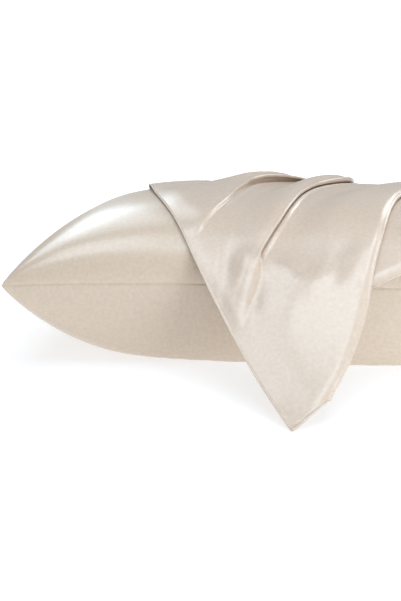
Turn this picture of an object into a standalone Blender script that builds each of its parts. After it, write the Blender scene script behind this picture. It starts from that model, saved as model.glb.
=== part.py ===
"""Satin pillowcase draped over a filled pillow in its own case.

Three solids: the filled pillow, and the outer and inner panels of the empty case that lies
slantwise over it. Metres, +Z up, +X along the pillow, -Y to the near side. The origin is
the centre of the pillow's flat base. The case is laid out first as a flat carpet: x along
the pillow and s up the near side and over the top, with s zero on the crown line.
"""
import math

import bpy
import numpy as np

MM = 0.001

# Filled pillow: half sizes at the corners, how far the sides draw in, seam height and crown
HALF_LENGTH = 300.0 * MM
END_DRAW_IN = 8.0 * MM
HALF_WIDTH = 232.0 * MM
SIDE_DRAW_IN = 23.0 * MM
SEAM_HEIGHT = 94.0 * MM
CORNER_DROP = 2.0 * MM
CROWN_RISE = 80.5 * MM
CROWN_ALONG = 4.0          # power of the crown along the pillow
CROWN_ACROSS = 2.65        # power of the crown across the pillow
ROUND_ALONG = 0.5          # how fast the cushion rounds up from its end seams
ROUND_ACROSS = 0.4         # how fast it rounds up from its long seams
BELLY_FLATTEN = 1.68       # above 1 the belly is pressed flat in the middle
BELLY_POWER = 1.2
PILLOW_COLUMNS = 26
PILLOW_ROWS = 20

# Case cloth
PANEL_THICKNESS = 1.0 * MM
PANEL_GAP = 0.5 * MM
CLEAR_OF_PILLOW = 2.2 * MM
CLEAR_OF_FLOOR = 0.35 * MM

# How the cloth leaves the pillow: steepness at departure and where it meets the floor
NEAR_FALL = {"slope": 55.0, "floor_y": -385.0 * MM, "first": 0.36, "last": 0.40, "flat": 8.0}
FAR_FALL = {"slope": 54.0, "floor_y": 345.0 * MM, "first": 0.38, "last": 0.40, "flat": 12.0}

# Left hem of the case, from its near tip to its corner on the crown
LEFT_HEM = (
    # s mm, x mm
    (-443.0, 8.0),
    (-350.0, -37.0),
    (-256.0, -82.0),
    (-173.0, -119.0),
    (-100.0, -146.0),
    (-40.0, -163.0),
    (25.0, -178.0),
    (90.0, -192.0),
    (176.0, -204.0),
)

# Near hem, laid out flat from the tip to its right corner
NEAR_HEM = (
    # share of the hem, x mm, s mm
    (0.00, 8.0, -443.0),
    (0.10, 46.0, -414.0),
    (0.50, 222.0, -294.0),
    (0.75, 317.0, -230.0),
    (1.00, 400.0, -160.0),
)

# Right hem as it lies, from its near corner to its far one
RIGHT_HEM = (
    # s mm, x mm
    (-125.0, 272.0),
    (-20.0, 270.0),
    (80.0, 270.0),
    (170.0, 258.0),
    (280.0, 205.0),
    (385.0, 130.0),
)

# Pleats, left to right. Each one folds back under itself and on again to the right.
# Edge rows give the outer fold's place as s mm and x mm.
PLEATS = (
    {
        "edge": ((-443, -122), (-200, -74), (-110, -57), (-40, -41), (20, -14), (80, 18), (160, 36),
                 (250, 16), (400, -62)),
        "bend": 3.3, "under": (14.0, 14.0), "lead": 28.0, "opens": (-220.0, -120.0),
        "before": 4, "splits": 1,
    },
    {
        "edge": ((-443, -84), (-200, -18), (-130, 2), (-60, 22), (0, 46), (80, 85), (160, 102),
                 (250, 80), (400, -6)),
        "bend": 3.0, "under": (14.0, 14.0), "lead": 26.0, "opens": (-272.0, -185.0),
        "before": 2, "splits": 1,
    },
    {
        "edge": ((-443, 33), (-380, 57), (-200, 105), (-90, 132), (-40, 153), (0, 178), (80, 226),
                 (170, 230), (280, 180), (400, 96)),
        "bend": 4.0, "under": (50.0, 24.0), "lead": 28.0, "opens": (-900.0, -800.0),
        "before": 3, "splits": 4,
    },
)
UNDER_EASES = (-240.0, -40.0)   # s mm between which a pleat goes from its first depth to its second
COLUMNS_AFTER = 8
TIP_SETTLE = 44.0          # mm over which the cloth rises from the floor beside the left hem
ROWS = 29
CROWD = 0.35               # rows lie closer over the near bulge, about CROWD_AT of the way up
CROWD_AT = 0.36


def smooth(value):
    """Zero below 0, one above 1, with a soft rise between."""
    v = np.clip(value, 0.0, 1.0)
    return v * v * (3.0 - 2.0 * v)


def crown(share, power, rounding):
    """Cushion height share at a place from -1 to 1 between two seams."""
    return np.clip(1.0 - np.abs(share) ** power, 0.0, 1.0) ** rounding


def pillow_top(p, q):
    """Plan place and upper surface at shares p along and q across."""
    x = p * (HALF_LENGTH - END_DRAW_IN * (1.0 - q ** 2))
    y = q * (HALF_WIDTH - SIDE_DRAW_IN * (1.0 - p ** 2))
    seam = SEAM_HEIGHT - CORNER_DROP * (p * q) ** 4
    rise = CROWN_RISE * crown(p, CROWN_ALONG, ROUND_ALONG) * crown(q, CROWN_ACROSS, ROUND_ACROSS)
    return x, y, seam, seam + rise


def pillow_belly(p, q, seam):
    """Lower surface, pressed flat on the ground in its middle."""
    press = BELLY_FLATTEN * crown(p, 1.8, ROUND_ALONG) * crown(q, 2.7, ROUND_ACROSS)
    return seam * (1.0 - np.clip(press, 0.0, 1.0)) ** BELLY_POWER


def grid_faces(rows, columns, first, turn):
    """Quads of a grid numbered row by row from first."""
    i, j = np.meshgrid(np.arange(rows - 1), np.arange(columns - 1), indexing="ij")
    a = first + i * columns + j
    quads = np.stack([a, a + 1, a + columns + 1, a + columns], -1).reshape(-1, 4)
    if turn:
        quads = quads[:, ::-1]
    return quads.tolist()


def make_object(name, points, faces, look):
    mesh = bpy.data.meshes.new(name)
    mesh.from_pydata([tuple(p) for p in points.tolist()], [], faces)
    mesh.validate()
    mesh.update()
    obj = bpy.data.objects.new(name, mesh)
    bpy.context.scene.collection.objects.link(obj)
    material = bpy.data.materials.new(look["name"])
    material.use_nodes = True
    shader = material.node_tree.nodes["Principled BSDF"]
    shader.inputs["Base Color"].default_value = look["color"]
    shader.inputs["Roughness"].default_value = look["roughness"]
    shader.inputs["Sheen Weight"].default_value = look["sheen"]
    mesh.materials.append(material)
    return obj


def build_pillow():
    """One filled solid: the upper and lower surfaces meet on the side seam."""
    along = np.sin(np.linspace(-1.0, 1.0, PILLOW_COLUMNS + 1) * math.pi / 2)
    across = np.sin(np.linspace(-1.0, 1.0, PILLOW_ROWS + 1) * math.pi / 2)
    q, p = np.meshgrid(across, along, indexing="ij")
    x, y, seam, top = pillow_top(p, q)
    low = pillow_belly(p, q, seam)
    rows, columns = p.shape
    upper = np.stack([x, y, top], -1).reshape(-1, 3)
    inside = np.zeros(p.shape, bool)
    inside[1:-1, 1:-1] = True
    lower_index = np.arange(rows * columns).reshape(rows, columns)
    lower_index[inside] = rows * columns + np.arange(inside.sum())
    lower = np.stack([x, y, low], -1)[inside]
    faces = grid_faces(rows, columns, 0, False)
    a = lower_index
    under = np.stack([a[:-1, :-1], a[1:, :-1], a[1:, 1:], a[:-1, 1:]], -1).reshape(-1, 4)
    points = np.vstack([upper, lower])
    look = {"name": "pillow_satin", "color": (0.62, 0.53, 0.44, 1.0), "roughness": 0.42, "sheen": 0.3}
    return make_object("filled_pillow", points, faces + under.tolist(), look)


def fall_curve(start, slope, fall, side, count=48):
    """Soft curve from the floor up to the pillow's side."""
    steep = math.radians(slope)
    flat = math.radians(fall["flat"])
    middle = CLEAR_OF_FLOOR + PANEL_THICKNESS + PANEL_GAP / 2
    end = np.array([fall["floor_y"], middle])
    reach = np.linalg.norm(end - start)
    first = start + fall["first"] * reach * np.array([side * math.cos(steep), -math.sin(steep)])
    last = end + fall["last"] * reach * np.array([-side * math.cos(flat), math.sin(flat)])
    k = np.linspace(0.0, 1.0, count)[:, None]
    curve = (1 - k) ** 3 * end + 3 * (1 - k) ** 2 * k * last + 3 * (1 - k) * k ** 2 * first + k ** 3 * start
    return curve


def side_profile(x, s_values):
    """Path of the cloth's middle over the pillow at one x, from the near floor to the far floor."""
    p = np.clip(x / (HALF_LENGTH - END_DRAW_IN * 0.5), -0.985, 0.985)
    q = np.sin(np.linspace(-1.0, 1.0, 241) * math.pi / 2)
    y, z = pillow_top(p, q)[1], pillow_top(p, q)[3]
    path = np.stack([y, z], -1)
    run = np.gradient(path, axis=0)
    run /= np.linalg.norm(run, axis=1)[:, None]
    lift = CLEAR_OF_PILLOW + PANEL_THICKNESS + PANEL_GAP / 2
    path = path + lift * np.stack([-run[:, 1], run[:, 0]], -1)
    slope = np.degrees(np.arctan2(run[:, 1], run[:, 0]))
    near = int(np.argmax(slope < NEAR_FALL["slope"]))
    far = int(len(slope) - 1 - np.argmax(slope[::-1] > -FAR_FALL["slope"]))
    near_curve = fall_curve(path[near], slope[near], NEAR_FALL, -1.0)
    far_curve = fall_curve(path[far], -slope[far], FAR_FALL, 1.0)[::-1]
    near_floor = near_curve[0] - np.array([200.0 * MM, 0.0])
    far_floor = far_curve[-1] + np.array([200.0 * MM, 0.0])
    whole = np.vstack([near_floor, near_curve, path[near + 1:far], far_curve, far_floor])
    length = np.r_[0.0, np.cumsum(np.linalg.norm(np.diff(whole, axis=0), axis=1))]
    length -= np.interp(0.0, whole[:, 0], length)
    return np.interp(s_values, length, whole[:, 0]), np.interp(s_values, length, whole[:, 1])


def profile_table():
    """Cloth path and outward direction over the whole pillow on an even x and s table."""
    xs = np.arange(-290.0, 291.0, 10.0) * MM
    ss = np.arange(-560.0, 561.0, 5.0) * MM
    rows = [side_profile(x, ss) for x in xs]
    y = np.array([row[0] for row in rows])
    z = np.array([row[1] for row in rows])
    place = np.stack([np.repeat(xs[:, None], len(ss), 1), y, z], -1)
    along = np.gradient(place, axis=0)
    up = np.gradient(place, axis=1)
    out = np.cross(along, up)
    out /= np.linalg.norm(out, axis=-1)[..., None]
    return xs, ss, place, out


def look_up(table, x, s):
    """Even interpolation of the table at each x and s."""
    xs, ss, place, out = table
    i = np.clip((x - xs[0]) / (xs[1] - xs[0]), 0.0, len(xs) - 1.001)
    j = np.clip((s - ss[0]) / (ss[1] - ss[0]), 0.0, len(ss) - 1.001)
    i0 = i.astype(int)
    j0 = j.astype(int)
    u = (i - i0)[..., None]
    v = (j - j0)[..., None]
    result = []
    for field in (place, out):
        near = field[i0, j0] * (1 - v) + field[i0, j0 + 1] * v
        away = field[i0 + 1, j0] * (1 - v) + field[i0 + 1, j0 + 1] * v
        result.append(near * (1 - u) + away * u)
    result[0][..., 0] = x
    return result


def pleat_shape(pleat, s):
    """Turn of the pleat and its under run at height s."""
    first, last = pleat["opens"]
    turn = math.pi * smooth((s - first) / (last - first))
    low, high = pleat["under"]
    ease = smooth((s - UNDER_EASES[0]) / (UNDER_EASES[1] - UNDER_EASES[0]))
    run = (low + (high - low) * ease) * smooth((s - last + 20.0) / 90.0)
    return turn, run


def taken(pleat, s):
    """Cloth used up by the pleat at height s."""
    turn, run = pleat_shape(pleat, s)
    bend = pleat["bend"]
    return 2.0 * bend * (turn - np.sin(turn)) + run * (1.0 - np.cos(turn))


def pleat_edge(pleat, s):
    """Place and lean of the pleat's first bend at height s."""
    table = np.array(pleat["edge"], float)
    at = np.linspace(-443.0, 400.0, 282)
    edge = soft_interp(at, table[:, 0], table[:, 1]) - pleat["bend"]
    lean = np.arctan(np.gradient(edge, at))
    beyond = (s - np.clip(s, at[0], at[-1])) * np.where(s > 0.0, math.tan(lean[-1]), math.tan(lean[0]))
    return np.interp(s, at, edge) + beyond, np.interp(s, at, lean)


def distance_past(pleat, x, s):
    """Distance of a point to the right of the pleat's first bend."""
    edge, lean = pleat_edge(pleat, s)
    return (x - edge) * np.cos(lean)


def even_curve(curve, count=101):
    """The same curve sampled at even lengths."""
    length = np.r_[0.0, np.cumsum(np.linalg.norm(np.diff(curve, axis=0), axis=1))]
    even = np.linspace(0.0, length[-1], count)
    return np.stack([np.interp(even, length, curve[:, k]) for k in range(2)], -1)


def hem_curves():
    """Left, near and right hems in the flat layout. The right one is laid out by undoing the pleats."""
    curves = []
    for rows, order in ((LEFT_HEM, (1, 0)), (NEAR_HEM, (1, 2)), (RIGHT_HEM, (1, 0))):
        table = np.array(rows)
        at = np.linspace(table[0, 0], table[-1, 0], 200)
        curve = np.stack([soft_interp(at, table[:, 0], table[:, k]) for k in order], -1)
        curves.append(even_curve(curve))
    left, near, laid = curves
    fade = np.linspace(1.0, 0.0, len(laid))[:, None]
    right = laid + (near[-1] - laid[0])
    rows = np.linspace(0.0, 1.0, 21)
    even = np.linspace(0.0, 1.0, len(laid))
    for _ in range(5):
        moved = np.array([row_pleats(row, (left, near, right))[2] for row in rows])
        right = laid + np.stack([np.interp(even, rows, moved[:, k]) for k in range(2)], -1)
        right = right + fade * (near[-1] - right[0])
    return left, near, right


def soft_interp(at, x, y):
    """Curve through the rows with matching slopes where they meet."""
    slope = np.gradient(y, x)
    k = np.clip(np.searchsorted(x, at) - 1, 0, len(x) - 2)
    h = x[k + 1] - x[k]
    u = (at - x[k]) / h
    a = y[k] * (1 + 2 * u) * (1 - u) ** 2 + y[k + 1] * u ** 2 * (3 - 2 * u)
    b = h * slope[k] * u * (1 - u) ** 2 - h * slope[k + 1] * u ** 2 * (1 - u)
    return a + b


def flat_layout(share, row, hems):
    """Point of the flat case between its four hems. Share runs right and row runs up."""
    left, near, right = hems
    even = np.linspace(0.0, 1.0, 101)

    def pick(curve, at):
        return np.stack([np.interp(at, even, curve[:, k]) for k in range(2)], -1)

    a = share[..., None]
    t = row[..., None]
    far_side = left[-1] * (1 - a) + right[-1] * a
    edges = pick(left, row) * (1 - a) + pick(right, row) * a + pick(near, share) * (1 - t) + far_side * t
    corners = (near[0] * (1 - a) + near[-1] * a) * (1 - t) + far_side * t
    return edges - corners


def row_pleats(row, hems):
    """Column places along one row, set to follow its pleats, and each pleat as it is on that row."""
    fine = np.linspace(0.0, 1.0, 801)
    point = flat_layout(fine, np.full_like(fine, row), hems)
    moved_x = 0.0
    moved_s = 0.0
    shares = [0.0]
    found = []
    for pleat in PLEATS:
        laid_s = point[:, 1] + moved_s
        past = distance_past(pleat, point[:, 0] - moved_x, laid_s)
        crossing = np.interp(0.0, past, laid_s)
        turn, run = pleat_shape(pleat, crossing)
        lean = float(pleat_edge(pleat, crossing)[1])
        found.append((pleat, moved_x, moved_s, turn, run, lean))
        used = taken(pleat, crossing)
        moved_x += used * math.cos(lean)
        moved_s += used * math.sin(lean)

        arc = max(pleat["bend"] * turn, 4.0)
        reach = max(run, 3.0)
        back = reach + 2.0 * pleat["bend"]
        lead = pleat["lead"]
        stations = [-back - lead, -back - 0.5 * lead, -back, -0.45 * back, 0.0]
        stations += [arc * k / 4 for k in (1, 2, 3, 4)]
        stations += [arc + reach * k / pleat["splits"] for k in range(1, pleat["splits"] + 1)]
        stations += [arc + reach + arc * k / 4 for k in (1, 2, 3, 4)]
        stations = np.array(stations)
        placed = np.interp(stations, past, fine) + np.minimum(stations - past[0], 0.0) / (past[-1] - past[0])
        gap = pleat["before"] + 1
        shares += [shares[-1] + (placed[0] - shares[-1]) * k / gap for k in range(1, gap)]
        shares += placed.tolist()
    shares += [shares[-1] + (1.0 - shares[-1]) * k / COLUMNS_AFTER for k in range(1, COLUMNS_AFTER + 1)]

    # Columns stay apart where the pleat lines run out past the left hem
    last = len(shares) - COLUMNS_AFTER - 9 - PLEATS[-1]["splits"]
    spread = (0.92 - 0.6 * smooth((row - 0.12) / 0.2)) * shares[last] / last
    for k in range(1, last):
        shares[k] = max(shares[k], spread * k, shares[k - 1] + 0.2 * spread)
    return np.array(shares), found, (moved_x, -moved_s)


def lay_row(row, hems):
    """Carpet x, s and height over the pillow for every column of one row."""
    shares, found = row_pleats(row, hems)[:2]
    point = flat_layout(shares, np.full_like(shares, row), hems)
    x = point[:, 0]
    s = point[:, 1]
    hem = np.array(LEFT_HEM)
    from_hem = (x - soft_interp(np.clip(s, hem[0, 0], hem[-1, 0]), hem[:, 0], hem[:, 1])) * math.cos(0.45)
    settle = smooth(from_hem / TIP_SETTLE)
    move_x = np.zeros_like(x)
    move_s = np.zeros_like(x)
    height = np.zeros_like(x)
    for pleat, moved_x, moved_s, turn, run, lean in found:
        bend = pleat["bend"]
        past = distance_past(pleat, x - moved_x, s + moved_s)
        arc = bend * turn
        first = np.clip(past, 0.0, arc) / bend
        flat = np.clip(past - arc, 0.0, run)
        second = np.clip(past - arc - run, 0.0, arc) / bend
        rest = np.maximum(past - 2.0 * arc - run, 0.0)
        along = np.minimum(past, 0.0) + rest + bend * np.sin(first) + flat * math.cos(turn)
        along = along + bend * (math.sin(turn) - np.sin(turn - second))
        down = bend * (1.0 - np.cos(first)) + flat * math.sin(turn)
        down = down + bend * (np.cos(turn - second) - math.cos(turn))
        full = 2.0 * bend * (1.0 - math.cos(turn)) + run * math.sin(turn)
        lead = smooth((past + run + 2.0 * bend + pleat["lead"]) / pleat["lead"])
        height = height + full * lead * settle - down
        move_x = move_x + (along - past) * math.cos(lean)
        move_s = move_s - (along - past) * math.sin(lean)
    return x + move_x, s + move_s, np.maximum(height, 0.0)


def case_middle():
    """Middle surface of the draped case as a grid of points with outward directions."""
    hems = hem_curves()
    even = np.linspace(0.0, 1.0, ROWS)
    turn = 2.0 * math.pi
    levels = even - CROWD * (np.sin(turn * (even - CROWD_AT)) + math.sin(turn * CROWD_AT)) / turn
    laid = [lay_row(level, hems) for level in levels]
    x, s, height = (np.array([row[k] for row in laid]) for k in range(3))
    place, out = look_up(profile_table(), x * MM, s * MM)
    middle = place + out * (height * MM)[..., None]
    across = np.gradient(middle, axis=1)
    up = np.gradient(middle, axis=0)
    normal = np.cross(across, up)
    normal /= np.linalg.norm(normal, axis=-1)[..., None]
    return middle, normal


def sheet_triangles(middle):
    """Triangles of the sheet grid, each quad cut along its shorter diagonal."""
    rows, columns = middle.shape[:2]
    index = np.arange(rows * columns).reshape(rows, columns)
    a, b, c, d = (index[:-1, :-1], index[:-1, 1:], index[1:, 1:], index[1:, :-1])
    points = middle.reshape(-1, 3)
    rising = np.linalg.norm(points[a] - points[c], axis=-1) < np.linalg.norm(points[b] - points[d], axis=-1)
    first = np.where(rising[..., None], np.stack([a, b, c], -1), np.stack([a, b, d], -1))
    second = np.where(rising[..., None], np.stack([a, c, d], -1), np.stack([b, c, d], -1))
    return np.concatenate([first.reshape(-1, 3), second.reshape(-1, 3)])


def build_panel(name, middle, normal, near, far, look):
    """Closed thin sheet between two distances from the case's middle surface."""
    rows, columns = middle.shape[:2]
    upper = (middle + normal * far).reshape(-1, 3)
    lower = (middle + normal * near).reshape(-1, 3)
    count = rows * columns
    triangles = sheet_triangles(middle)
    faces = triangles.tolist() + (triangles[:, ::-1] + count).tolist()
    index = np.arange(count).reshape(rows, columns)
    rim = np.concatenate([index[0], index[1:, -1], index[-1, -2::-1], index[-2:0:-1, 0]])
    after = np.roll(rim, -1)
    faces += np.stack([rim, rim + count, after + count, after], -1).tolist()
    return make_object(name, np.vstack([upper, lower]), faces, look)


def build_all():
    for old in list(bpy.data.objects):
        bpy.data.objects.remove(old, do_unlink=True)
    build_pillow()
    middle, normal = case_middle()
    half_gap = PANEL_GAP / 2
    outer = {"name": "case_outer_satin", "color": (0.66, 0.56, 0.47, 1.0), "roughness": 0.36, "sheen": 0.35}
    inner = {"name": "case_inner_satin", "color": (0.60, 0.51, 0.43, 1.0), "roughness": 0.40, "sheen": 0.3}
    build_panel("case_outer_panel", middle, normal, half_gap, half_gap + PANEL_THICKNESS, outer)
    build_panel("case_inner_panel", middle, normal, -half_gap - PANEL_THICKNESS, -half_gap, inner)


build_all()
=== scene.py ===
import math

import bpy
import numpy as np
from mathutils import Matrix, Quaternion, Vector


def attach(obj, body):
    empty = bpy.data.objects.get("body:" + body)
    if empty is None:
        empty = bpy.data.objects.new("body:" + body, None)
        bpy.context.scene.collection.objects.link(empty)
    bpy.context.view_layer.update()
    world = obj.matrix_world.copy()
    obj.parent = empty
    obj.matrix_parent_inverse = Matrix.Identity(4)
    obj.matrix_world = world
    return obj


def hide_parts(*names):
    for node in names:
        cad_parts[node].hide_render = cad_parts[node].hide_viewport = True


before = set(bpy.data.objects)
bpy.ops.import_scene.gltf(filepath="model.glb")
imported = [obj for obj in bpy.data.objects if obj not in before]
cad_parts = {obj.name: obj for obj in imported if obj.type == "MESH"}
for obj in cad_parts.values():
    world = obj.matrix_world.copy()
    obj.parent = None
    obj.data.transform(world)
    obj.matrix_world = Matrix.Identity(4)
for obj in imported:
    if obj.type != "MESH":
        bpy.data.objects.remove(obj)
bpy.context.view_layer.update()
mm = 0.001

# Satin pillowcase draped slantwise over a filled pillow. Everything is in metres, x along the
# pillow, y away from the viewer, z up, with the origin under the middle of the pillow.


def softStep(value):
    v = np.clip(value, 0.0, 1.0)  # 3v^2 - 2v^3: level at both ends
    return v * v * (3.0 - 2.0 * v)


def softCurve(at, x, y):
    # Cubic between neighbouring rows, its slope at each row the mean slope there
    slope = np.gradient(y, x)
    k = np.clip(np.searchsorted(x, at) - 1, 0, len(x) - 2)
    h = x[k + 1] - x[k]
    u = (at - x[k]) / h
    a = y[k] * (1 + 2 * u) * (1 - u) ** 2 + y[k + 1] * u ** 2 * (3 - 2 * u)
    return a + h * slope[k] * u * (1 - u) ** 2 - h * slope[k + 1] * u ** 2 * (1 - u)


def unevenWave(at, lengths, shifts):
    # Sum of sines of unlike lengths, each lower by its place in the list, from about -1 to 1
    waves = [np.sin(2 * math.pi * at / w + f) / (k + 1) for k, (w, f) in enumerate(zip(lengths, shifts))]
    return sum(waves) / sum(1.0 / (k + 1) for k in range(len(lengths)))


def gridQuads(index):
    # The four point numbers of every cell of a grid
    return np.stack([index[:-1, :-1], index[:-1, 1:], index[1:, 1:], index[1:, :-1]], -1).reshape(-1, 4)


def meshFromArrays(name, points, quads, uv=None, sharp=None):
    # Smooth four-sided faces, the flat cloth as UV map, and sharp edges between points of one rim
    mesh = bpy.data.meshes.new(name)
    mesh.vertices.add(len(points))
    mesh.vertices.foreach_set("co", np.ascontiguousarray(points, np.float32).ravel())
    mesh.loops.add(quads.size)
    mesh.loops.foreach_set("vertex_index", quads.ravel().astype(np.int32))
    mesh.polygons.add(len(quads))
    mesh.polygons.foreach_set("loop_start", np.arange(0, quads.size, 4, dtype=np.int32))
    mesh.polygons.foreach_set("use_smooth", np.ones(len(quads), bool))
    if uv is not None:
        layer = mesh.uv_layers.new(name="cloth")
        layer.data.foreach_set("uv", uv[quads.ravel()].astype(np.float32).ravel())
    mesh.update(calc_edges=True)
    mesh.validate()
    if sharp is not None:
        edges = np.empty(len(mesh.edges) * 2, np.int32)
        mesh.edges.foreach_get("vertices", edges)
        pairs = sharp[edges.reshape(-1, 2)]
        onRim = (pairs[:, 0] > 0) & (pairs[:, 0] == pairs[:, 1])
        mesh.attributes.new("sharp_edge", "BOOLEAN", "EDGE").data.foreach_set("value", onRim)
    piece = bpy.data.objects.new(name, mesh)
    bpy.context.scene.collection.objects.link(piece)
    return piece


# Filled pillow, its two faces joined on the side seam
pillow = {
    "halfLength": 300.0 * mm,
    "endDrawIn": 8.0 * mm,
    "halfWidth": 232.0 * mm,
    "sideDrawIn": 23.0 * mm,
    "seamHeight": 94.0 * mm,
    "cornerDrop": 2.0 * mm,
    "crownRise": 80.5 * mm,
    "crownAlong": 4.0,
    "crownAcross": 2.65,
    "roundAlong": 0.5,
    "roundAcross": 0.4,
    "bellyFlatten": 1.68,
    "bellyAlong": 1.8,
    "bellyAcross": 2.7,
    "bellyPower": 1.2,
    "gridStep": 4.0 * mm,
    "arcSamples": 6001,
    "seamSteps": (0.0, 0.35, 0.7, 1.05, 1.5, 2.1, 2.9, 4.0, 5.6, 7.8, 10.5),  # mm from the seam
    "seamGroove": 0.9 * mm,
    "grooveReach": 1.2 * mm,
    "seamPucker": 0.35 * mm,
    "puckerStart": 2.0 * mm,
    "puckerReach": 9.0 * mm,
    "sideWave": ((0.031, 0.019, 0.047), (0.3, 1.9, 4.1)),  # lengths in metres, and shifts
    "endWave": ((0.027, 0.018, 0.043), (2.2, 0.7, 3.3)),
    "cornerFade": 30.0 * mm,                       # the waves die out where side and end meet
    "groundClear": 2.0 * mm,                       # nothing moves where it lies on the ground
    "groundEase": 20.0 * mm,
    "flatHalfWidth": 254.0 * mm,
    "lowerMapAt": 600.0 * mm,                      # where the lower face starts on the UV map
}


def crownShare(share, power, rounding):
    # (1 - |share|^power)^rounding: one in the middle, zero on the seam
    return np.clip(1.0 - np.abs(share) ** power, 0.0, 1.0) ** rounding


def pillowTop(p, q):
    # Plan place with drawn-in sides, seam height, and the upper face as seam height plus crown
    x = p * (pillow["halfLength"] - pillow["endDrawIn"] * (1.0 - q ** 2))
    y = q * (pillow["halfWidth"] - pillow["sideDrawIn"] * (1.0 - p ** 2))
    seam = pillow["seamHeight"] - pillow["cornerDrop"] * (p * q) ** 4
    along = crownShare(p, pillow["crownAlong"], pillow["roundAlong"])
    across = crownShare(q, pillow["crownAcross"], pillow["roundAcross"])
    return x, y, seam, seam + pillow["crownRise"] * along * across


def pillowBelly(p, q, seam):
    # Lower face: seam height times (1 - press)^power, flat where the press reaches one
    along = crownShare(p, pillow["bellyAlong"], pillow["roundAlong"])
    across = crownShare(q, pillow["bellyAcross"], pillow["roundAcross"])
    press = pillow["bellyFlatten"] * along * across
    return seam * (1.0 - np.clip(press, 0.0, 1.0)) ** pillow["bellyPower"]


def evenShares(across):
    # Shares -1 to 1 whose arc over the crown has the wanted steps, close together by the seam
    fine = np.sin(np.linspace(0.0, 1.0, pillow["arcSamples"]) * math.pi / 2)
    x, y, _, top = pillowTop(np.zeros_like(fine), fine) if across else pillowTop(fine, np.zeros_like(fine))
    run = y if across else x
    arc = np.r_[0.0, np.cumsum(np.hypot(np.diff(run), np.diff(top)))]
    near = arc[-1] - np.array(pillow["seamSteps"]) * mm
    count = int(near[-1] / pillow["gridStep"]) + 1
    wanted = np.r_[np.linspace(0.0, near[-1], count + 1), near[-2::-1]]
    half = np.interp(wanted, arc, fine)
    half[-1] = 1.0
    return np.r_[-half[:0:-1], half]


def gridNormals(place):
    # Cross product of the two grid directions
    normal = np.cross(np.gradient(place, axis=1), np.gradient(place, axis=0))
    size = np.linalg.norm(normal, axis=-1)
    return normal / np.maximum(size, 1e-12)[..., None]


def edgeArcs(place):
    # Shorter arc from each point to either end of its column, and the same for its row
    across = np.cumsum(np.linalg.norm(np.diff(place, axis=0, prepend=place[:1]), axis=-1), axis=0)
    along = np.cumsum(np.linalg.norm(np.diff(place, axis=1, prepend=place[:, :1]), axis=-1), axis=1)
    side = np.minimum(across, across[-1:] - across)
    end = np.minimum(along, along[:, -1:] - along)
    return side, end


def dressPillow(place, normal):
    # The seam sinks in as a narrow groove, and the cloth beside it puckers in uneven waves
    side, end = edgeArcs(place)
    nearest = np.minimum(side, end)
    groove = pillow["seamGroove"] * np.exp(-(nearest / pillow["grooveReach"]) ** 2)
    sideWave = unevenWave(place[..., 0], *pillow["sideWave"])
    endWave = unevenWave(place[..., 1], *pillow["endWave"])
    start = 1.0 - np.exp(-(nearest / pillow["puckerStart"]) ** 2)
    fade = start * np.exp(-nearest / pillow["puckerReach"])
    wave = np.where(side < end, sideWave, endWave) * softStep(np.abs(side - end) / pillow["cornerFade"])
    return place + normal * (pillow["seamPucker"] * wave * fade - groove)[..., None]


def buildPillow():
    # Upper and lower face share the points of their rim, which is the seam
    q, p = np.meshgrid(evenShares(True), evenShares(False), indexing="ij")
    x, y, seam, top = pillowTop(p, q)
    upper = np.stack([x, y, top], -1)
    lower = np.stack([x, y, pillowBelly(p, q, seam)], -1)
    dressed = dressPillow(upper, gridNormals(upper))
    lowerNormal = -gridNormals(lower)
    free = softStep((lower[..., 2:] - pillow["groundClear"]) / pillow["groundEase"])
    dressedLower = lower + (dressPillow(lower, lowerNormal) - lower) * free
    rim = np.ones(p.shape, bool)
    rim[1:-1, 1:-1] = False
    dressed[rim] = (dressed[rim] + dressedLower[rim]) / 2
    count = p.size
    upperIndex = np.arange(count).reshape(p.shape)
    lowerIndex = upperIndex.copy()
    lowerIndex[~rim] = count + np.arange((~rim).sum())
    quads = np.vstack([gridQuads(upperIndex), gridQuads(lowerIndex)[:, ::-1]])
    points = np.vstack([dressed.reshape(-1, 3), dressedLower[~rim]])
    upperMap = q.ravel() * pillow["flatHalfWidth"]
    lowerMap = pillow["lowerMapAt"] + q[~rim] * pillow["flatHalfWidth"]
    uv = np.stack([np.r_[x.ravel(), x[~rim]], np.r_[upperMap, lowerMap]], -1)
    return meshFromArrays("filledPillow", points, quads, uv)


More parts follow.
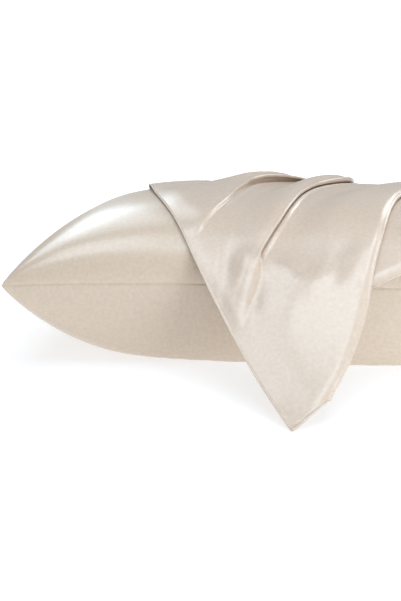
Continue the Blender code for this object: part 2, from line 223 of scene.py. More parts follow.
# Draped case, laid out as a carpet: x along the pillow, s up the near side, over and down
drape = {
    "clothThickness": 0.5 * mm,
    "panelGap": 0.3 * mm,
    "clearOfPillow": 2.2 * mm,
    "clearOfFloor": 0.35 * mm,
    "panelDepth": 1.0 * mm,                        # each panel's whole room
    "flatWidth": 508.0,                            # mm
    "flatLength": 660.0,
    # slope is in degrees where the cloth leaves the pillow, and flat is its slope at the ground.
    # first and last are the shares of the way that the curve's handles take
    "nearFall": {"slope": 46.0, "floorY": -385.0 * mm, "first": 0.30, "last": 0.30, "flat": 24.0},
    "farFall": {"slope": 54.0, "floorY": 345.0 * mm, "first": 0.38, "last": 0.40, "flat": 12.0},
    "leftHem": (  # s mm, x mm
        (-440.0, 10.0), (-350.0, -37.0), (-256.0, -82.0), (-173.0, -119.0), (-100.0, -146.0),
        (-40.0, -163.0), (25.0, -178.0), (90.0, -192.0), (176.0, -204.0),
    ),
    "nearHem": (  # share of the hem, x mm, s mm, laid flat
        (0.00, 10.0, -440.0), (0.045, 26.0, -422.0), (0.09, 43.0, -404.0), (0.20, 88.0, -373.0),
        (0.50, 222.0, -307.0), (0.75, 318.0, -243.0), (1.00, 400.0, -172.0),
    ),
    "rightHem": (  # s mm, x mm, as it lies
        (-137.0, 273.0), (-20.0, 270.0), (80.0, 270.0), (170.0, 258.0), (280.0, 205.0), (385.0, 130.0),
    ),
    "hemSteps": (0.6, 1.2, 1.8, 2.5, 3.4, 4.6, 6.2, 8.6, 12.0, 16.0),  # mm from a hem
    "hemSamples": 200,
    "hemPoints": 101,
    "hemRows": 21,                                 # for undoing the pleats at the right hem
    "hemPasses": 5,
    "hemLean": 0.45,                               # of the left hem beside the pleats, in radians
    "lipWidth": 2.2,                               # mm
    "hemSink": 1.3 * mm,                           # the hem lies closer to the pillow than the rest
    "formSink": 0.2,                               # and evens out this share of the soft forms
    "sinkReach": 14.0 * mm,
    "sinkHeight": (8.0 * mm, 20.0 * mm),           # above the floor, and over what height it begins
    "sinkAlong": (10.0, 70.0),                     # s mm past which none sinks, and over what length
    "beadWidth": 1.3,                              # mm, as are all down to puckerWidth
    "beadEase": 0.8,
    "beadRise": 0.5,
    "grooveAway": 2.7,
    "grooveWidth": 0.7,
    "grooveDepth": 0.25,
    "puckerRise": 0.10,
    "mouthPucker": 0.22,                           # more of it on the mouth's own hem
    "puckerAway": 4.0,
    "puckerWidth": 3.2,
    "puckerWave": ((0.019, 0.031, 0.013), (0.4, 2.6, 4.4)),  # lengths in metres, and shifts
    "mouthDepth": 12.0 * mm,
    "mouthEase": 20.0 * mm,
    "tableX": (-292.0, 292.1, 4.0),                # mm: from, to and step
    "tableS": (-560.0, 560.1, 2.0),
    "edgeSpan": (-443.0, 400.0, 282),              # s mm: from and to, and samples
    "edgeLean": 0.6,                               # most that a pleat's edge leans, in radians
    "onFloor": 200.0 * mm,                         # the paths run on flat past both falls
    "rowSamples": 801,
    "foldColumns": (8, 5, 9, 9, 4, 9, 3, 3, 10),   # from the back of a pleat to beyond its lip
    "leastArc": 3.0,                               # mm, as are the next five
    "leastRun": 2.0,
    "pastReach": 7.0,
    "reachStop": 4.0,
    "runStop": 1.0,
    "lipStops": (3.0, 4.0),
    "columnsAfter": 26,
    "leastAfter": 0.1,                             # share of a row that stays right of the pleats
    "leastGap": 0.0004,                            # shares of a row
    "leastGapAtEnd": 0.0002,
    "evenAtHem": 0.92,                             # how evenly the columns before a pleat are spread
    "evenDrop": 0.82,
    "evenRows": (0.04, 0.14),                      # share of the length where that drops, and over what
    "rows": 148,
    "crowd": 0.35,                                 # rows crowd where the case falls off the pillow
    "crowdAt": 0.36,
}

# Each pleat folds back under itself and on again to the right. Edge rows are s mm and x mm.
# Section rows are s mm, the turn of the fold in degrees, its front and back bend, the run under it,
# the level top behind it, the ramp up to that, the droop of the front and its reach, and the small
# lip beyond it, its distance and rise, all in mm. Beside the left hem a pleat settles over some mm,
# and "before" is the number of columns before it
sectionNames = ("turn", "front", "back", "run", "level", "ramp", "droop", "reach", "lipAway", "lipRise")
pleats = (
    {
        "edge": ((-443, -190), (-256, -116), (-225, -106), (-202, -99), (-184, -93), (-162, -86),
                 (-144, -80), (-128, -74), (-98, -66), (-64, -61), (-16, -52), (28, -42), (60, -22),
                 (85, 6), (110, 26), (160, 38), (250, 16), (400, -62)),
        "section": (
            (-250, 0, 5.0, 5.0, 0, 0, 22, 0.0, 6, 6, 0.0),
            (-202, 34, 5.0, 5.0, 0, 0, 22, 0.0, 6, 6, 0.0),
            (-168, 54, 4.2, 4.2, 0, 0, 28, 0.0, 6, 6, 0.0),
            (-146, 68, 3.0, 3.0, 0, 0, 44, 0.0, 6, 7, 0.4),
            (-128, 84, 2.1, 2.5, 0, 0, 70, 0.3, 5, 8, 1.0),
            (-94, 104, 1.8, 2.2, 0, 0, 110, 0.8, 6, 9, 1.6),
            (-60, 112, 1.9, 2.6, 0, 0, 130, 1.0, 8, 9, 1.8),
            (-16, 128, 1.9, 3.2, 0, 0, 104, 1.6, 10, 9, 1.7),
            (28, 160, 1.7, 4.8, 1, 1, 56, 3.2, 13, 9, 1.3),
            (56, 180, 1.5, 7.2, 2, 2, 32, 5.0, 16, 8, 0.6),
            (85, 180, 1.4, 8.1, 3, 4, 24, 8.6, 18, 8, 0.0),
            (120, 180, 1.3, 4.4, 8, 2, 26, 5.6, 17, 6, 0.0),
            (170, 180, 1.3, 2.6, 12, 0, 34, 3.2, 12, 6, 0.0),
            (220, 180, 1.5, 2.4, 14, 0, 30, 3.0, 8, 6, 0.0),
        ),
        "before": 10, "settle": 24.0,
    },
    {
        "edge": ((-443, -90), (-350, -56), (-316, -45), (-298, -41), (-274, -36), (-256, -32), (-240, -29),
                 (-222, -26), (-204, -19), (-176, -8), (-138, 3), (-64, 22), (-2, 43), (40, 64), (80, 84),
                 (115, 92), (160, 94), (250, 70), (400, -16)),
        "section": (
            (-350, 0, 12.0, 12.0, 0, 0, 24, 0.0, 6, 5, 0.0),
            (-315, 18, 12.0, 12.0, 0, 0, 24, 0.0, 6, 5, 0.0),
            (-285, 31, 11.0, 11.0, 0, 0, 26, 0.0, 6, 5, 0.0),
            (-252, 70, 3.6, 4.0, 0.3, 0, 28, 0.1, 5, 5, 0.3),
            (-222, 170, 1.3, 1.6, 2, 0, 32, 0.8, 4, 5, 1.4),
            (-176, 180, 1.3, 1.6, 4, 0, 38, 1.0, 5, 5, 1.7),
            (-130, 180, 1.3, 1.7, 5, 0, 42, 1.2, 5, 5, 1.7),
            (-64, 180, 1.4, 2.2, 6, 0, 40, 1.8, 6, 5, 1.7),
            (-10, 180, 1.8, 3.2, 6, 0, 34, 3.2, 9, 5.5, 1.4),
            (40, 180, 2.6, 4.2, 6, 0, 26, 5.0, 14, 6, 0.8),
            (80, 180, 2.6, 4.6, 6, 0, 26, 5.6, 18, 6, 0.0),
            (120, 180, 1.8, 3.4, 10, 0, 28, 4.0, 16, 5, 0.0),
            (200, 180, 1.5, 2.4, 14, 0, 28, 3.0, 8, 5, 0.0),
        ),
        "before": 8, "settle": 16.0,
    },
    {
        "edge": ((-440, 24), (-408, 40), (-388, 49), (-362, 60), (-332, 70), (-292, 81), (-243, 90),
                 (-185, 104), (-140, 115), (-88, 131), (-40, 153), (0, 178), (80, 226), (170, 230),
                 (280, 180), (400, 96)),
        "section": (
            (-440, 180, 1.0, 1.4, 58, 0, 60, 0.8, 7, 6, 0.0),
            (-400, 180, 1.2, 1.9, 57, 0, 66, 1.9, 4.4, 6, 0.0),
            (-300, 180, 1.4, 2.7, 56, 0, 70, 3.1, 4.0, 6, 0.0),
            (-240, 180, 1.4, 2.5, 54, 0, 60, 2.5, 3.8, 6, 0.0),
            (-140, 180, 1.3, 1.9, 42, 0, 46, 1.4, 4, 6, 0.0),
            (-40, 180, 1.4, 2.2, 31, 0, 36, 1.4, 4, 6, 0.0),
            (80, 180, 1.5, 3.0, 28, 0, 34, 3.4, 10, 6, 0.0),
            (200, 180, 1.5, 2.6, 28, 0, 34, 3.0, 8, 6, 0.0),
        ),
        "before": 22, "settle": 50.0,
    },
)


def fallCurve(start, slope, fall, side, count=60):
    # Cubic Bezier from the ground up to where the cloth leaves the pillow
    steep = math.radians(slope)
    flat = math.radians(fall["flat"])
    end = np.array([fall["floorY"], drape["clearOfFloor"] + drape["panelDepth"] + drape["panelGap"] / 2])
    reach = np.linalg.norm(end - start)
    first = start + fall["first"] * reach * np.array([side * math.cos(steep), -math.sin(steep)])
    last = end + fall["last"] * reach * np.array([-side * math.cos(flat), math.sin(flat)])
    k = np.linspace(0.0, 1.0, count)[:, None]
    return (1 - k) ** 3 * end + 3 * (1 - k) ** 2 * k * last + 3 * (1 - k) * k ** 2 * first + k ** 3 * start


def sideProfile(x, sValues):
    # Path of the case's middle at one x: ground, fall, over the pillow, fall, ground, by arc length
    endShare, samples = 0.985, 481
    p = np.clip(x / (pillow["halfLength"] - pillow["endDrawIn"] * 0.5), -endShare, endShare)
    q = np.sin(np.linspace(-1.0, 1.0, samples) * math.pi / 2)
    _, y, _, top = pillowTop(p, q)
    path = np.stack([y, top], -1)
    run = np.gradient(path, axis=0)
    run /= np.linalg.norm(run, axis=1)[:, None]
    lift = drape["clearOfPillow"] + drape["panelDepth"] + drape["panelGap"] / 2
    path = path + lift * np.stack([-run[:, 1], run[:, 0]], -1)
    slope = np.degrees(np.arctan2(run[:, 1], run[:, 0]))
    near = int(np.argmax(slope < drape["nearFall"]["slope"]))
    far = int(len(slope) - 1 - np.argmax(slope[::-1] > -drape["farFall"]["slope"]))
    nearCurve = fallCurve(path[near], slope[near], drape["nearFall"], -1.0)
    farCurve = fallCurve(path[far], -slope[far], drape["farFall"], 1.0)[::-1]
    onward = np.array([drape["onFloor"], 0.0])
    over = path[near + 1:far]
    whole = np.vstack([nearCurve[0] - onward, nearCurve, over, farCurve, farCurve[-1] + onward])
    length = np.r_[0.0, np.cumsum(np.linalg.norm(np.diff(whole, axis=0), axis=1))]
    length -= np.interp(0.0, whole[:, 0], length)
    return np.interp(sValues, length, whole[:, 0]), np.interp(sValues, length, whole[:, 1])


def blurAlong(values, reach, axis):
    # Even average over a few neighbours, three times over, which is close to a bell curve
    for _ in range(3):
        first, last = (np.take(values, [end] * reach, axis) for end in (0, -1))
        total = np.cumsum(np.concatenate([first, values, last], axis), axis=axis)
        total = np.concatenate([np.zeros_like(np.take(total, [0], axis)), total], axis)
        n = values.shape[axis]
        high = np.take(total, np.arange(2 * reach + 1, 2 * reach + 1 + n), axis)
        values = (high - np.take(total, np.arange(n), axis)) / (2 * reach + 1)
    return values


def profileTable():
    # Place and outward direction of the case's middle over a grid of x and s
    xs = np.arange(*drape["tableX"]) * mm
    ss = np.arange(*drape["tableS"]) * mm
    rows = [sideProfile(x, ss) for x in xs]
    y = blurAlong(np.array([row[0] for row in rows]), 2, 1)
    z = blurAlong(np.array([row[1] for row in rows]), 2, 1)
    place = np.stack([np.repeat(xs[:, None], len(ss), 1), y, z], -1)
    out = np.cross(np.gradient(place, axis=0), np.gradient(place, axis=1))
    return xs, ss, place, out / np.linalg.norm(out, axis=-1)[..., None]


def lookUp(table, x, s):
    # Bilinear reading of the table at every x and s
    xs, ss, place, out = table
    i = np.clip((x - xs[0]) / (xs[1] - xs[0]), 0.0, len(xs) - 1.001)
    j = np.clip((s - ss[0]) / (ss[1] - ss[0]), 0.0, len(ss) - 1.001)
    i0, j0 = i.astype(int), j.astype(int)
    u, v = (i - i0)[..., None], (j - j0)[..., None]
    found = []
    for field in (place, out):
        near = field[i0, j0] * (1 - v) + field[i0, j0 + 1] * v
        away = field[i0 + 1, j0] * (1 - v) + field[i0 + 1, j0 + 1] * v
        found.append(near * (1 - u) + away * u)
    found[0][..., 0] = x
    return found


def easedSection(pleat):
    # Section rows joined by straight lines, then eased over about 20 mm
    rows = np.array(pleat["section"], float)
    beyond, step, reach = 40.0, 2.0, 4
    at = np.arange(rows[0, 0] - beyond, rows[-1, 0] + beyond, step)
    joined = [np.interp(at, rows[:, 0], column) for column in rows[:, 1:].T]
    return at, blurAlong(np.stack(joined, -1), reach, 0)


for pleat in pleats:
    pleat["eased"] = easedSection(pleat)


def sectionAt(pleat, s):
    # The fold's section at each s, its turn in radians
    at, eased = pleat["eased"]
    section = {name: np.interp(s, at, eased[:, n]) for n, name in enumerate(sectionNames)}
    section["turn"] = np.radians(section["turn"])
    return section


def foldHeight(section):
    # How far the top of the fold lies above the cloth beside it
    bends = (section["front"] + section["back"]) * (1.0 - np.cos(section["turn"]))
    return bends + section["run"] * np.sin(section["turn"])


def clothTaken(section):
    # Length that the fold uses up: both bends' arcs less their sines, and the run less its reach
    turn = section["turn"]
    bends = (section["front"] + section["back"]) * (turn - np.sin(turn))
    return bends + section["run"] * (1.0 - np.cos(turn))


def foldRoom(section):
    # Length behind the edge that both bends need, none where the pleat is open
    return (section["front"] + section["back"]) * (1.0 - np.cos(section["turn"])) / 2.0


def pleatEdge(pleat, s):
    # Place and lean of the first bend, straight on past the ends of its rows
    rows = np.array(pleat["edge"], float)
    at = np.linspace(*drape["edgeSpan"])
    edge = softCurve(at, rows[:, 0], rows[:, 1])
    lean = np.clip(np.arctan(np.gradient(edge, at)), -drape["edgeLean"], drape["edgeLean"])
    beyond = (s - np.clip(s, at[0], at[-1])) * np.where(s > 0.0, math.tan(lean[-1]), math.tan(lean[0]))
    return np.interp(s, at, edge) + beyond, np.interp(s, at, lean)


def distancePast(pleat, x, s):
    # Distance to the right of the edge, square to it
    edge, lean = pleatEdge(pleat, s)
    return (x - edge) * np.cos(lean)


def evenCurve(curve):
    # The same curve with its points evenly spread along it
    length = np.r_[0.0, np.cumsum(np.linalg.norm(np.diff(curve, axis=0), axis=1))]
    even = np.linspace(0.0, length[-1], drape["hemPoints"])
    return np.stack([np.interp(even, length, curve[:, k]) for k in range(2)], -1)


def hemCurves():
    # The right hem is given as it lies, so its flat place is found by undoing the pleats
    curves = []
    for rows, order in ((drape["leftHem"], (1, 0)), (drape["nearHem"], (1, 2)), (drape["rightHem"], (1, 0))):
        table = np.array(rows)
        at = np.linspace(table[0, 0], table[-1, 0], drape["hemSamples"])
        curves.append(evenCurve(np.stack([softCurve(at, table[:, 0], table[:, k]) for k in order], -1)))
    left, near, laid = curves
    fade = np.linspace(1.0, 0.0, len(laid))[:, None]
    right = laid + (near[-1] - laid[0])
    rows = np.linspace(0.0, 1.0, drape["hemRows"])
    even = np.linspace(0.0, 1.0, len(laid))
    for _ in range(drape["hemPasses"]):
        moved = np.array([rowPleats(row, (left, near, right))[2] for row in rows])
        right = laid + np.stack([np.interp(even, rows, moved[:, k]) for k in range(2)], -1)
        right = right + fade * (near[-1] - right[0])
    return left, near, right


def flatLayout(share, row, hems):
    # Coons patch between the four hems: both rulings added, the corners' share taken away
    left, near, right = hems
    even = np.linspace(0.0, 1.0, drape["hemPoints"])

    def pick(curve, at):
        return np.stack([np.interp(at, even, curve[:, k]) for k in range(2)], -1)

    a, t = share[..., None], row[..., None]
    farSide = left[-1] * (1 - a) + right[-1] * a
    edges = pick(left, row) * (1 - a) + pick(right, row) * a + pick(near, share) * (1 - t) + farSide * t
    return edges - (near[0] * (1 - a) + near[-1] * a) * (1 - t) - farSide * t


def rowPleats(row, hems):
    # Columns of one row, set to follow its pleats, and what each pleat is on that row
    fine = np.linspace(0.0, 1.0, drape["rowSamples"])
    point = flatLayout(fine, np.full_like(fine, row), hems)
    width = np.linalg.norm(np.diff(point, axis=0), axis=1).sum()
    hemShares = [step / width for step in drape["hemSteps"]]
    movedX, movedS, found = 0.0, 0.0, []
    shares = [0.0] + hemShares
    for pleat in pleats:
        laidS = point[:, 1] + movedS
        past = distancePast(pleat, point[:, 0] - movedX, laidS)
        crossing = np.interp(0.0, past, laidS)
        section = sectionAt(pleat, crossing)
        lean = float(pleatEdge(pleat, crossing)[1])
        found.append((pleat, movedX, movedS, section, lean))
        used = clothTaken(section)
        movedX += used * math.cos(lean)
        movedS += used * math.sin(lean)
        arcs = [max(section[name] * section["turn"], drape["leastArc"]) for name in ("front", "back")]
        frontArc, backArc = arcs
        run = max(section["run"], drape["leastRun"])
        back = max(run + foldRoom(section) + section["level"], section["reach"] + drape["pastReach"])
        under = frontArc + run
        beyond = under + backArc
        lip = beyond + run + section["lipAway"]
        stops = (  # mm past the edge
            -back - section["ramp"], -back, -section["reach"] - drape["reachStop"], 0.0, frontArc, under,
            beyond, beyond + run - drape["runStop"], lip - drape["lipStops"][0], lip + drape["lipStops"][1],
        )
        for stop, steps in zip(stops, (pleat["before"],) + drape["foldColumns"]):
            placed = np.interp(stop, past, fine) + min(stop - past[0], 0.0) / (past[-1] - past[0])
            start = shares[-1]
            shares += [start + (placed - start) * k / steps for k in range(1, steps + 1)]
            if stop == 0.0:
                edgeColumn = len(shares) - 1
    start, after = shares[-1], drape["columnsAfter"]
    end = max(1.0 - hemShares[-1], start + drape["leastAfter"] * (1.0 - start))
    shares += [start + (end - start) * k / after for k in range(1, after + 1)]
    shares += [1.0 - (1.0 - end) * step / hemShares[-1] for step in hemShares[-2::-1]] + [1.0]
    evenFrom, evenOver = drape["evenRows"]
    even = drape["evenAtHem"] - drape["evenDrop"] * softStep((row - evenFrom) / evenOver)
    even = even * shares[edgeColumn] / edgeColumn
    firstFree = len(hemShares) + 1
    for k in range(firstFree, len(shares)):  # columns stay apart where the pleats run out past the hem
        low = hemShares[-1] + even * (k - firstFree + 1) if k < edgeColumn else 0.0
        shares[k] = max(shares[k], low, shares[k - 1] + drape["leastGap"])
    lowest = 1.0 - drape["leastGapAtEnd"] * (len(shares) - 1)
    shares = np.minimum(shares, np.linspace(lowest, 1.0, len(shares)))
    gaps = blurAlong(np.diff(shares), 1, 0)  # no wide column lies beside a very narrow one
    shares = np.r_[0.0, np.cumsum(gaps)] / gaps.sum()
    return shares, found, (movedX, -movedS)


def layRow(row, hems):
    # Each pleat is an S in section: half turn down, run back, half turn on, then level again
    shares, found = rowPleats(row, hems)[:2]
    point = flatLayout(shares, np.full_like(shares, row), hems)
    x, s = point[:, 0], point[:, 1]
    hem = np.array(drape["leftHem"])
    hemX = softCurve(np.clip(s, hem[0, 0], hem[-1, 0]), hem[:, 0], hem[:, 1])
    fromHem = (x - hemX) * math.cos(drape["hemLean"])
    moveX, moveS, height = np.zeros_like(x), np.zeros_like(x), np.zeros_like(x)
    for pleat, movedX, movedS, section, lean in found:
        turn, front, back, run = (float(section[name]) for name in ("turn", "front", "back", "run"))
        past = distancePast(pleat, x - movedX, s + movedS)
        under = front * turn + run
        beyond = under + back * turn
        first = np.clip(past, 0.0, front * turn) / front
        flat = np.clip(past - front * turn, 0.0, run)
        second = np.clip(past - under, 0.0, back * turn) / back
        rest = np.maximum(past - beyond, 0.0)
        along = np.minimum(past, 0.0) + rest + front * np.sin(first) + flat * math.cos(turn)
        along = along + back * (math.sin(turn) - np.sin(turn - second))
        lift = np.cos(turn - second) - math.cos(turn)
        down = front * (1.0 - np.cos(first)) + flat * math.sin(turn) + back * lift
        # Behind the edge each point has the section of its own s, so the fold's top runs smoothly on
        crossing = np.interp(0.0, past, s + movedS)
        behind = sectionAt(pleat, np.where(past < 0.0, s + movedS, crossing))
        level = behind["run"] + foldRoom(behind) + behind["level"]
        ramp = softStep((past + level + behind["ramp"]) / behind["ramp"])
        ramp = ramp * softStep(fromHem / pleat["settle"])
        above = 1.0 - lift / max(1.0 - math.cos(turn), 1e-6)
        droop = behind["droop"] * above * np.exp(-(np.minimum(along, 0.0) / behind["reach"]) ** 2)
        lip = section["lipRise"] * np.exp(-((along - section["lipAway"]) / drape["lipWidth"]) ** 2)
        height = height + foldHeight(behind) * ramp - down - droop + lip * (rest > 0.0)
        moveX = moveX + (along - past) * math.cos(lean)
        moveS = moveS - (along - past) * math.sin(lean)
    flatX, flatS = shares * (drape["flatWidth"] * mm), row * (drape["flatLength"] * mm)
    flatUv = np.stack([flatX, np.full_like(shares, flatS)], -1)
    return x + moveX, s + moveS, np.maximum(height, 0.0), flatUv


# Soft ridges and troughs: a path of x mm and s mm, half width and height in mm, and
# the shares of the path over which it fades in and out
softForms = (
    {"path": ((-200, 44), (-170, 60), (-120, 76), (-70, 90)),  # the left part stands off the crown
     "width": (56, 56, 56, 56), "height": 3.4, "fade": (0.05, 0.35)},
    {"path": ((-104, -210), (-60, -236), (-16, -254), (26, -266), (60, -264), (92, -252), (140, -218),
              (200, -176), (280, -120)),  # shoulder before the fall
     "width": (36, 44, 50, 53, 53, 50, 46, 44, 40), "height": 6.6, "fade": (0.24, 0.25)},
    {"path": ((-12, -226), (0, -241), (12, -254), (22, -265), (31, -273), (37, -260), (42, -236),
              (48, -210)),  # bent ridge between the second and third pleat
     "width": (10, 10, 11, 12, 12, 11, 10, 10), "height": 4.0, "fade": (0.25, 0.3)},
    {"path": ((80, -200), (74, -226), (68, -250), (63, -272), (58, -292)),  # ridge to its right
     "width": (9, 9, 9, 9, 9), "height": 2.8, "fade": (0.3, 0.35)},
    {"path": ((58, -208), (56, -232), (54, -256), (50, -286)),  # trough between the two ridges
     "width": (8, 8, 8, 9), "height": -2.6, "fade": (0.3, 0.45)},
    {"path": ((8, -140), (17, -190), (23, -235), (28, -268)),  # hollow above the first one's bend
     "width": (18, 18, 17, 15), "height": -2.4, "fade": (0.7, 0.25)},
    {"path": ((-25, -244), (-27, -260), (-30, -280), (-34, -300), (-37, -320)),  # below the second pleat
     "width": (8, 9, 10, 10, 10), "height": -2.8, "fade": (0.3, 0.45)},
    {"path": ((-10, -254), (-4, -270), (2, -288), (8, -306), (14, -324)),  # and beside that trough
     "width": (8, 8, 8, 8, 8), "height": 1.5, "fade": (0.3, 0.4)},
    {"path": ((84, -290), (116, -276), (150, -258), (200, -224), (260, -184)),  # the hem right of the tongue
     "width": (38, 38, 38, 38, 38), "height": 6.2, "fade": (0.2, 0.2)},
)


def formHeight(x, s):
    # Each form is a bell across its path, fading in and out along it
    samples, ease = 160, 20.0  # points on a path, and mm2 over which one gives way to the next
    total = np.zeros_like(x)
    for form in softForms:
        rows = np.array(form["path"], float)
        k = np.arange(len(rows), dtype=float)
        at = np.linspace(0.0, len(rows) - 1.0, samples)
        px, ps = softCurve(at, k, rows[:, 0]), softCurve(at, k, rows[:, 1])
        gap = (x[..., None] - px) ** 2 + (s[..., None] - ps) ** 2
        weight = np.exp((gap.min(-1, keepdims=True) - gap) / ease)
        weight /= weight.sum(-1, keepdims=True)
        place = weight @ at
        along = place / (len(rows) - 1.0)
        fade = softStep(along / form["fade"][0]) * softStep((1.0 - along) / form["fade"][1])
        width = np.interp(place, k, np.array(form["width"], float))
        total = total + form["height"] * fade * np.exp(-(weight * gap).sum(-1) / width ** 2)
    return total


def hemDistance(middle):
    # Shortest of the four arcs from a point to the hems, along its own row and column
    return np.minimum(*edgeArcs(middle))


def caseMiddle():
    # Middle surface of the two panels, carpet rows laid over the pillow's table, with its normals
    hems = hemCurves()
    even = np.linspace(0.0, 1.0, drape["rows"])
    turn = 2.0 * math.pi
    wave = np.sin(turn * (even - drape["crowdAt"])) + math.sin(turn * drape["crowdAt"])
    edge = np.array(drape["hemSteps"]) / drape["flatLength"]
    inner = edge[-1] + (even - drape["crowd"] * wave / turn) * (1.0 - 2.0 * edge[-1])
    levels = np.concatenate([[0.0], edge[:-1], inner, 1.0 - edge[-2::-1], [1.0]])
    laid = [layRow(level, hems) for level in levels]
    x, s, height = (np.array([row[k] for row in laid]) for k in range(3))
    uv = np.array([row[3] for row in laid])
    place, out = lookUp(profileTable(), x * mm, s * mm)
    forms = formHeight(x, s) * mm
    middle = place + out * (height * mm + forms)[..., None]
    (floorClear, floorEase), (lastS, overS) = drape["sinkHeight"], drape["sinkAlong"]
    onPillow = softStep((middle[..., 2] - floorClear) / floorEase) * softStep((lastS - s) / overS)
    sunk = onPillow * (drape["hemSink"] + drape["formSink"] * forms)
    sunk = sunk * (1.0 - softStep(hemDistance(middle) / drape["sinkReach"]))
    middle = middle - out * sunk[..., None]
    return middle, gridNormals(middle), uv


def hemRelief(middle, uv):
    # The turned edge is thicker, the stitching draws a narrow groove inside it, and the cloth
    # puckers beyond that
    gap = hemDistance(middle) / mm
    bead = drape["beadRise"] * (1.0 - softStep((gap - drape["beadWidth"]) / drape["beadEase"]))
    groove = drape["grooveDepth"] * np.exp(-((gap - drape["grooveAway"]) / drape["grooveWidth"]) ** 2)
    wave = unevenWave(uv[..., 0] + uv[..., 1], *drape["puckerWave"])
    mouth = 1.0 - softStep((uv[..., 1] - drape["mouthDepth"]) / drape["mouthEase"])
    rise = drape["puckerRise"] + drape["mouthPucker"] * mouth
    pucker = rise * wave * np.exp(-((gap - drape["puckerAway"]) / drape["puckerWidth"]) ** 2)
    return (bead - groove + pucker)[..., None] * mm


def buildPanel(name, middle, normal, uv, near, far):
    # Closed thin sheet between two distances from the case's middle
    upper = middle + normal * far
    lower = middle + normal * near
    count = middle.shape[0] * middle.shape[1]
    index = np.arange(count).reshape(middle.shape[:2])
    rim = np.concatenate([index[0], index[1:, -1], index[-1, -2::-1], index[-2:0:-1, 0]])
    after = np.roll(rim, -1)
    sides = np.stack([rim, rim + count, after + count, after], -1)
    quads = np.vstack([gridQuads(index), gridQuads(index)[:, ::-1] + count, sides])
    points = np.vstack([upper.reshape(-1, 3), lower.reshape(-1, 3)])
    onRim = np.zeros(len(points), np.int8)
    onRim[rim], onRim[rim + count] = 1, 2
    flat = uv.reshape(-1, 2)
    return meshFromArrays(name, points, quads, np.vstack([flat, flat]), onRim)


# Satin of the three pieces
satin = {
    "pillowTone": (0.670, 0.562, 0.455, 1.0),
    "caseTone": (0.675, 0.565, 0.470, 1.0),
    # painted shade: the inner panel is the case's own satin made darker, for the shade inside and under the
    # case
    "shadedInsideTone": (0.560, 0.450, 0.350, 1.0),
    "toneSpread": 0.05,
    "cloudScale": 260.0,
    "cloudDetail": 3.0,
    "cloudEnds": (0.3, 0.7),
    "grainScale": 900.0,
    "grainDetail": 2.0,
    "grainStrength": 0.08,
    "grainDepth": 0.3 * mm,
    "roughness": 0.26,
    "specular": 0.5,
    "ior": 1.5,
}


def satinFinish(name, tone):
    # Gloss of one width all over, a faint cloud in the tone and a fine grain
    material = bpy.data.materials.new(name)
    material.use_nodes = True
    nodes, links = material.node_tree.nodes, material.node_tree.links
    shader = nodes["Principled BSDF"]
    shader.inputs["Roughness"].default_value = satin["roughness"]
    shader.inputs["Specular IOR Level"].default_value = satin["specular"]
    shader.inputs["IOR"].default_value = satin["ior"]
    coords = nodes.new("ShaderNodeTexCoord")
    cloud = nodes.new("ShaderNodeTexNoise")
    cloud.inputs["Scale"].default_value = satin["cloudScale"]
    cloud.inputs["Detail"].default_value = satin["cloudDetail"]
    links.new(coords.outputs["Object"], cloud.inputs["Vector"])
    ramp = nodes.new("ShaderNodeValToRGB")
    factors = (1.0 - satin["toneSpread"], 1.0 + satin["toneSpread"])
    for element, position, factor in zip(ramp.color_ramp.elements, satin["cloudEnds"], factors):
        element.position = position
        element.color = tuple(c * factor for c in tone[:3]) + (1.0,)
    links.new(cloud.outputs["Fac"], ramp.inputs["Fac"])
    links.new(ramp.outputs["Color"], shader.inputs["Base Color"])
    grain = nodes.new("ShaderNodeTexNoise")
    grain.inputs["Scale"].default_value = satin["grainScale"]
    grain.inputs["Detail"].default_value = satin["grainDetail"]
    links.new(coords.outputs["Object"], grain.inputs["Vector"])
    bump = nodes.new("ShaderNodeBump")
    bump.inputs["Strength"].default_value = satin["grainStrength"]
    bump.inputs["Distance"].default_value = satin["grainDepth"]
    links.new(grain.outputs["Fac"], bump.inputs["Height"])
    links.new(bump.outputs["Normal"], shader.inputs["Normal"])
    return material


pillowPiece = buildPillow()
pillowPiece.data.materials.append(satinFinish("pillowSatin", satin["pillowTone"]))
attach(pillowPiece, "root")
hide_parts("filled_pillow")
print("pillow made:", len(pillowPiece.data.polygons), "faces")

middle, normal, clothUv = caseMiddle()
nearFace = drape["panelGap"] / 2
farFace = nearFace + drape["clothThickness"]
relief = hemRelief(middle, clothUv)
outerPanel = buildPanel("caseOuterPanel", middle, normal, clothUv, nearFace, farFace + relief)
outerPanel.data.materials.append(satinFinish("caseSatin", satin["caseTone"]))
# The inner panel's darker satin is painted shade
innerPanel = buildPanel("caseInnerPanel", middle, normal, clothUv, -farFace, -nearFace)
innerPanel.data.materials.append(satinFinish("caseInsideShadedSatin", satin["shadedInsideTone"]))
for panel, node, slotName in ((outerPanel, "case_outer_panel", "case_outer_satin"),
                              (innerPanel, "case_inner_panel", "case_inner_satin")):
    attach(panel, "root")
    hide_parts(node)
print("case made:", len(outerPanel.data.polygons), "faces a panel")


# Studio: pale floor that glows a little, white surround and soft panels of light
studio = {
    "floorReach": 6.0,
    "floorTone": (0.52, 0.54, 0.57, 1.0),
    "floorRoughness": 0.9,
    "floorSpecular": 0.1,
    "floorGlow": (0.60, 0.95),                     # dimmer by the pillow as a painted shadow, and full far from it
    "paintedShadowReach": (0.35, 1.30),                     # metres from the pillow over which the painted shadow gives way to the full glow
    "surround": 0.46,                              # what the cloth receives; the backdrop itself is white
}

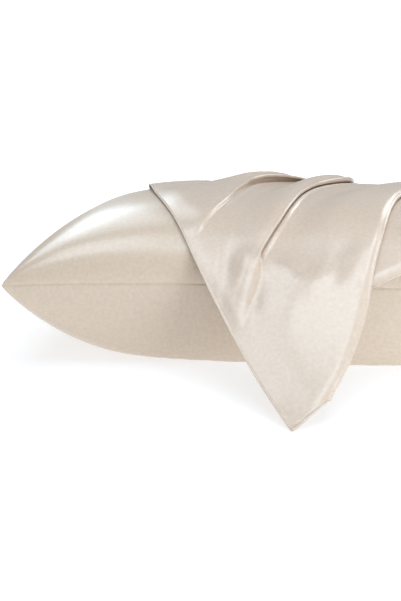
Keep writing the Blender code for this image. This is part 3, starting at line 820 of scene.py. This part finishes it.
# glow is a panel's brightness, and a panel reaches the cloth's gloss, its plain shading or both
softPanels = (
    {"name": "overheadPanel", "place": (0.0, -0.10, 1.50), "aim": (0.0, 0.0, 0.0), "roll": 0.0,
     "size": (1.60, 1.60), "glow": 1.60, "tone": (0.92, 0.97, 1.0), "reaches": ("diffuse",)},
    {"name": "backLeftPanel", "place": (-0.79, 0.83, 0.83), "aim": (-0.16, -0.08, 0.16), "roll": 34.0,
     "size": (1.01, 0.38), "glow": 3.3, "tone": (0.76, 0.90, 1.0), "reaches": ("glossy",)},
    {"name": "highLeftPanel", "place": (-0.40, 0.34, 0.64), "aim": (-0.20, -0.17, 0.15), "roll": 0.0,
     "size": (0.30, 0.30), "glow": 2.1, "tone": (0.76, 0.90, 1.0), "reaches": ("glossy",)},
    {"name": "leftPanel", "place": (-0.46, -0.24, 1.10), "aim": (0.0, -0.27, 0.13), "roll": 0.0,
     "size": (0.60, 0.44), "glow": 5.0, "tone": (0.74, 0.88, 1.0), "reaches": ("glossy",)},
    {"name": "rightPanel", "place": (0.44, -0.20, 1.16), "aim": (0.05, -0.25, 0.13), "roll": 0.0,
     "size": (0.36, 0.34), "glow": 6.2, "tone": (0.74, 0.88, 1.0), "reaches": ("glossy",)},
    {"name": "frontTopPanel", "place": (0.14, -0.62, 1.18), "aim": (0.05, -0.54, 0.09), "roll": 0.0,
     "size": (0.56, 0.66), "glow": 4.8, "tone": (0.70, 0.87, 1.0), "reaches": ("glossy",)},
    {"name": "backRightPanel", "place": (0.70, 0.72, 0.85), "aim": (0.05, -0.12, 0.14), "roll": 0.0,
     "size": (0.70, 0.50), "glow": 4.4, "tone": (0.90, 0.96, 1.0), "reaches": ("glossy",)},
    {"name": "frontRightPanel", "place": (0.62, -0.75, 0.22), "aim": (0.12, -0.21, 0.08), "roll": 0.0,
     "size": (0.40, 0.30), "glow": 8.5, "tone": (0.86, 0.94, 1.0), "reaches": ("diffuse", "glossy")},
)


def layFloor():
    # Glowing flat square that lights the cloth from below, dimmer by the pillow as a painted shadow
    corners = np.array([(-1.0, -1.0, 0.0), (1.0, -1.0, 0.0), (1.0, 1.0, 0.0), (-1.0, 1.0, 0.0)])
    floor = meshFromArrays("studioFloor", studio["floorReach"] * corners, np.array([[0, 1, 2, 3]]))
    material = bpy.data.materials.new("paleFloor")
    material.use_nodes = True
    nodes, links = material.node_tree.nodes, material.node_tree.links
    shader = nodes["Principled BSDF"]
    shader.inputs["Base Color"].default_value = studio["floorTone"]
    shader.inputs["Roughness"].default_value = studio["floorRoughness"]
    shader.inputs["Specular IOR Level"].default_value = studio["floorSpecular"]
    shader.inputs["Emission Color"].default_value = (1.0, 1.0, 1.0, 1.0)
    coords, distance = nodes.new("ShaderNodeTexCoord"), nodes.new("ShaderNodeVectorMath")
    distance.operation = "LENGTH"
    links.new(coords.outputs["Object"], distance.inputs[0])
    glow = nodes.new("ShaderNodeMapRange")
    glow.interpolation_type = "SMOOTHSTEP"
    ends = ("From Min", "From Max", "To Min", "To Max")
    for name, value in zip(ends, studio["paintedShadowReach"] + studio["floorGlow"]):
        glow.inputs[name].default_value = value
    links.new(distance.outputs["Value"], glow.inputs["Value"])
    links.new(glow.outputs["Result"], shader.inputs["Emission Strength"])
    floor.data.materials.append(material)


def setSurround():
    # The camera sees plain white, and the cloth receives a dimmer surround
    world = bpy.data.worlds.new("whiteSurround")
    world.use_nodes = True
    nodes, links = world.node_tree.nodes, world.node_tree.links
    seen, lit = nodes["Background"], nodes.new("ShaderNodeBackground")
    seen.inputs["Color"].default_value = lit.inputs["Color"].default_value = (1.0, 1.0, 1.0, 1.0)
    seen.inputs["Strength"].default_value = 1.0
    lit.inputs["Strength"].default_value = studio["surround"]
    path, pick = nodes.new("ShaderNodeLightPath"), nodes.new("ShaderNodeMixShader")
    links.new(path.outputs["Is Camera Ray"], pick.inputs["Fac"])
    links.new(lit.outputs["Background"], pick.inputs[1])
    links.new(seen.outputs["Background"], pick.inputs[2])
    links.new(pick.outputs["Shader"], nodes["World Output"].inputs["Surface"])
    bpy.context.scene.world = world


def hangPanels():
    # Power is glow times pi times area, so a panel's size doesn't change its brightness
    for panel in softPanels:
        light = bpy.data.lights.new(panel["name"], "AREA")
        light.shape = "RECTANGLE"
        light.size, light.size_y = panel["size"]
        light.energy = panel["glow"] * math.pi * panel["size"][0] * panel["size"][1]
        light.color = panel["tone"]
        lamp = bpy.data.objects.new(panel["name"], light)
        lamp.location = panel["place"]
        towards = (Vector(panel["aim"]) - lamp.location).to_track_quat("-Z", "Y")
        lamp.rotation_euler = (towards @ Quaternion((0.0, 0.0, 1.0), math.radians(panel["roll"]))).to_euler()
        lamp.visible_camera = False
        lamp.visible_diffuse = "diffuse" in panel["reaches"]
        lamp.visible_glossy = "glossy" in panel["reaches"]
        bpy.context.scene.collection.objects.link(lamp)


viewer = {
    "place": (0.0, -1.075, 0.280),
    "lookDown": 13.23,
    "turn": 5.84,
    "focalPixels": 833.1,
    "imageHeight": 601,
    "sensor": 36.0,                                # mm
}


def setCamera():
    # The photo is taller than wide, so the sensor's size is that of its height
    camera = bpy.data.cameras.new("viewer")
    camera.sensor_width = viewer["sensor"]
    camera.lens = viewer["focalPixels"] * viewer["sensor"] / viewer["imageHeight"]
    eye = bpy.data.objects.new("viewer", camera)
    eye.location = viewer["place"]
    eye.rotation_euler = (math.radians(90.0 - viewer["lookDown"]), 0.0, math.radians(viewer["turn"]))
    bpy.context.scene.collection.objects.link(eye)
    bpy.context.scene.camera = eye


layFloor()
setSurround()
hangPanels()
setCamera()
bpy.context.scene.view_settings.view_transform = "Standard"
print("studio set")
